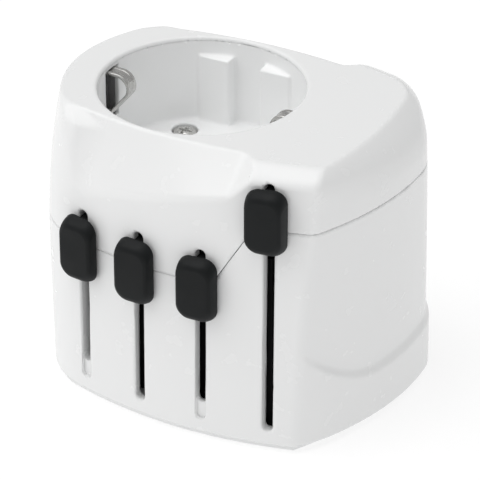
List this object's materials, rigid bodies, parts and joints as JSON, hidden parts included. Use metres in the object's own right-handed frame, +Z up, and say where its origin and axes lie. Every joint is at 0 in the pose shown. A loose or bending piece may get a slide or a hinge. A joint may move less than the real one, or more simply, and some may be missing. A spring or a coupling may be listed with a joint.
{
  "type": "travel adapter",
  "caption": "Travel adapter: a white case with an earthed round socket on top and sliding plugs, pushed out of the base by black knobs on its front.",
  "frame": {"origin": "on the underside of the base plate, under the middle of the round socket", "axes": "+Z up, out of the socket; -Y towards the side with the sliders; +X towards the overhanging end"},
  "size_m": [0.0717, 0.0569, 0.0588],
  "materials": {
    "white_shell": "smooth white, satin gloss",
    "white_base": "smooth white, satin",
    "white_insert": "smooth white, satin gloss",
    "screw_steel": "zinc plated, cross recess",
    "clip_metal": "nickel plated strip",
    "black_frame": "matt black moulding",
    "brass_contact": "bright sprung strip",
    "spring_steel": "thin sprung strip",
    "fuse_ceramic": "glazed ceramic tube with metal caps",
    "soft_black": "soft-touch black, fine grain",
    "plug_nickel": "bright nickel plate"
  },
  "bodies": {
    "case": {"upper_shell": "white_shell", "lower_shell": "white_shell", "base_plate": "white_base", "socket_insert": "white_insert", "socket_screws": "screw_steel", "earth_strap": "clip_metal", "contact_carrier": "black_frame", "line_contact": "brass_contact", "neutral_contact": "brass_contact", "line_bus": "brass_contact", "neutral_bus": "brass_contact", "earth_bus": "clip_metal", "guide_comb": "black_frame", "detent_springs": "spring_steel", "fuse": "fuse_ceramic", "fuse_contact": "brass_contact", "fuse_cap": "black_frame", "base_screws": "screw_steel"},
    "earth_clip_left": {"earth_clip_left": "clip_metal"},
    "earth_clip_right": {"earth_clip_right": "clip_metal"},
    "eu_plug": {"eu_knob": "soft_black", "eu_carriage": "black_frame", "eu_pins": "plug_nickel", "eu_earth_pin": "plug_nickel"},
    "aus_plug": {"aus_knob": "soft_black", "aus_carriage": "black_frame", "aus_blades": "plug_nickel", "aus_earth_blade": "plug_nickel"},
    "us_plug": {"us_knob": "soft_black", "us_carriage": "black_frame", "us_blades": "plug_nickel", "us_ground_pin": "plug_nickel"},
    "uk_plug": {"uk_knob": "soft_black", "uk_carriage": "black_frame", "uk_pins": "plug_nickel", "uk_earth_pin": "plug_nickel"}
  },
  "joints": [
    {"name": "eu_slide", "type": "slide", "parent": "case", "child": "eu_plug", "axis": [0, 0, -1], "range_m": [0, 0.0242]},
    {"name": "aus_slide", "type": "slide", "parent": "case", "child": "aus_plug", "axis": [0, 0, -1], "range_m": [0, 0.0242]},
    {"name": "us_slide", "type": "slide", "parent": "case", "child": "us_plug", "axis": [0, 0, -1], "range_m": [0, 0.0242]},
    {"name": "uk_slide", "type": "slide", "parent": "case", "child": "uk_plug", "axis": [0, 0, -1], "range_m": [0, 0.0274]},
    {"name": "left_clip_flex", "type": "slide", "parent": "case", "child": "earth_clip_left", "axis": [-1, 0, 0], "range_m": [0, 0.0012], "stiffness_N_per_m": 400},
    {"name": "right_clip_flex", "type": "slide", "parent": "case", "child": "earth_clip_right", "axis": [1, 0, 0], "range_m": [0, 0.0012], "stiffness_N_per_m": 400}
  ]
}
